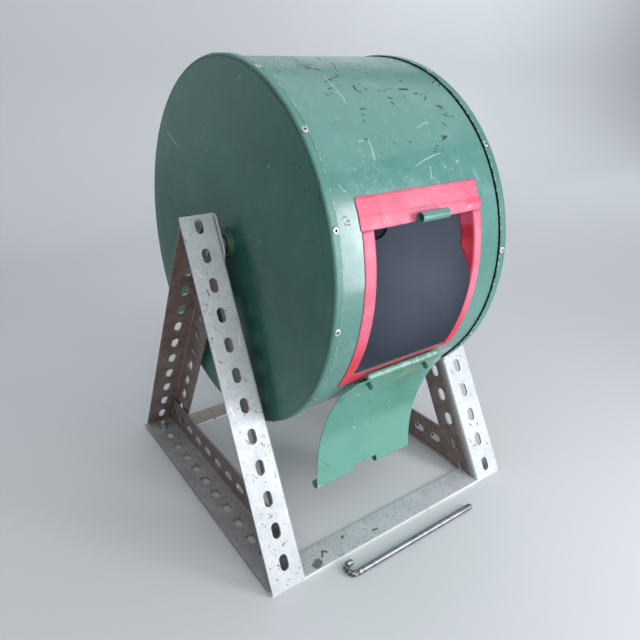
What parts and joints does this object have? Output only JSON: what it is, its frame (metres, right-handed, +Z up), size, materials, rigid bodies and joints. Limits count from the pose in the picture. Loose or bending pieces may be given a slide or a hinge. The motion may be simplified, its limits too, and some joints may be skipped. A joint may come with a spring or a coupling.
{
  "type": "raffle drum",
  "caption": "Sheet metal draw drum with a hinged door and pinned latch, turning on stub axles in a slotted angle stand.",
  "frame": {"origin": "on the ground under the middle of the axle, midway between the two frames", "axes": "+X along the axle to the right, +Y to the rear, +Z up; the mouth and its door face -Y"},
  "size_m": [0.3274, 0.3743, 0.4797],
  "materials": {
    "green_paint": "glossy dark green enamel, chipped and scratched",
    "steel": "galvanised, dull, speckled with dark marks",
    "strap_steel": "rolled flat bar, stained",
    "bright_steel": "plain zinc-plated fasteners",
    "black_paint": "matt black",
    "cloth_tape": "red cloth tape, slightly glossy",
    "rivet_alloy": "pop rivets, satin"
  },
  "bodies": {
    "stand": {"left_front_leg": "steel", "left_back_leg": "steel", "left_base_rail": "steel", "right_front_leg": "steel", "right_back_leg": "steel", "right_base_rail": "steel", "front_strap": "strap_steel", "rear_strap": "strap_steel", "foot_screws": "bright_steel", "foot_washers": "bright_steel", "foot_nuts": "bright_steel"},
    "drum": {"drum_shell": "green_paint", "left_end_cap": "green_paint", "right_end_cap": "green_paint", "left_cap_rivets": "rivet_alloy", "right_cap_rivets": "rivet_alloy", "left_hub": "green_paint", "right_hub": "green_paint", "left_backing_plate": "black_paint", "right_backing_plate": "black_paint", "left_axle_bolt": "bright_steel", "right_axle_bolt": "bright_steel", "left_hub_nut": "bright_steel", "right_hub_nut": "bright_steel", "right_spacer": "bright_steel", "left_axle_washer": "bright_steel", "right_axle_washer": "bright_steel", "left_axle_nut": "bright_steel", "right_axle_nut": "bright_steel", "tape_top": "cloth_tape", "tape_patch": "cloth_tape", "tape_left": "cloth_tape", "tape_right": "cloth_tape", "tape_bottom": "cloth_tape", "drum_hinge_leaf": "green_paint", "hinge_pin": "bright_steel", "drum_hinge_rivets": "green_paint"},
    "door": {"door_panel": "green_paint", "door_hinge_leaf": "green_paint", "door_hinge_rivets": "green_paint"},
    "latch_pin": {"latch_pin": "bright_steel"}
  },
  "joints": [
    {"name": "drum_spin", "type": "hinge", "parent": "stand", "child": "drum", "pos_m": [0, 0, 0.2933], "axis": [1, 0, 0], "continuous": true},
    {"name": "door_hinge", "type": "hinge", "parent": "drum", "child": "door", "pos_m": [0, -0.15824, 0.19365], "axis": [1, 0, 0], "range_deg": [-190.5, 1.5]},
    {"name": "latch_pin_lift", "type": "slide", "parent": "stand", "child": "latch_pin", "axis": [0, 0, 1], "range_m": [0, 0.1]}
  ]
}
